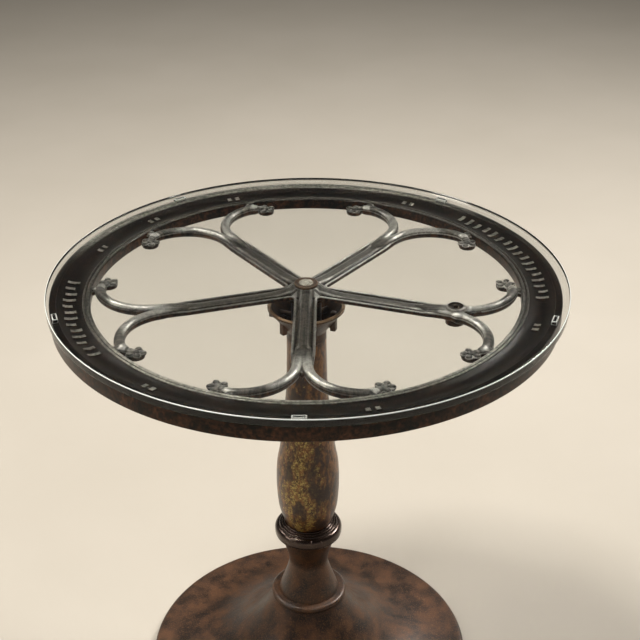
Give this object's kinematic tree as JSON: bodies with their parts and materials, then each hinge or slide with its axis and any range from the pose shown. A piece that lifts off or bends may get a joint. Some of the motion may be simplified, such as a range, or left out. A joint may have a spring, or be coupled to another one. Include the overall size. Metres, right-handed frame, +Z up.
{
  "type": "pedestal dining table",
  "caption": "Round dining table: a cast-iron mill wheel with forked arms under a loose glass plate, on a turned iron column with a round cast foot.",
  "frame": {"origin": "on the floor, on the column's axis", "axes": "+Z up; -Y to the front, along the front arm; +X to the right"},
  "size_m": [0.8127, 0.8128, 0.762],
  "materials": {
    "glass": "polished, with a ground edge",
    "clear_pad": "clear and soft",
    "wheel_iron": "old black iron, waxed, with worn bright edges",
    "worn_iron": "worn bright on the raised faces",
    "brown_iron": "rusty brown, waxed",
    "gilt_iron": "brown iron with flecks of old gold paint",
    "polished_iron": "polished dark iron",
    "steel": "turned bright",
    "dark_steel": "oiled and dark",
    "bronze": "dull bronze"
  },
  "bodies": {
    "table": {"glass_pads": "clear_pad", "wheel_rim": "wheel_iron", "rim_marks": "worn_iron", "wheel_hub": "wheel_iron", "wheel_arm_front": "wheel_iron", "wheel_arm_right": "wheel_iron", "wheel_arm_back_right": "wheel_iron", "wheel_arm_back_left": "wheel_iron", "wheel_arm_left": "wheel_iron", "shaft_ring": "brown_iron", "centre_shaft": "steel", "column_cup": "brown_iron", "cup_screws": "dark_steel", "column_vase": "gilt_iron", "upper_bush": "bronze", "grooved_ring": "polished_iron", "base_stem": "brown_iron", "lower_bush": "bronze", "base_foot": "brown_iron", "foot_washer": "dark_steel", "foot_nut": "dark_steel"},
    "glass": {"glass_top": "glass"}
  },
  "joints": [
    {"name": "glass_lift", "type": "slide", "parent": "table", "child": "glass", "axis": [0, 0, 1], "range_m": [0, 0.2]}
  ]
}
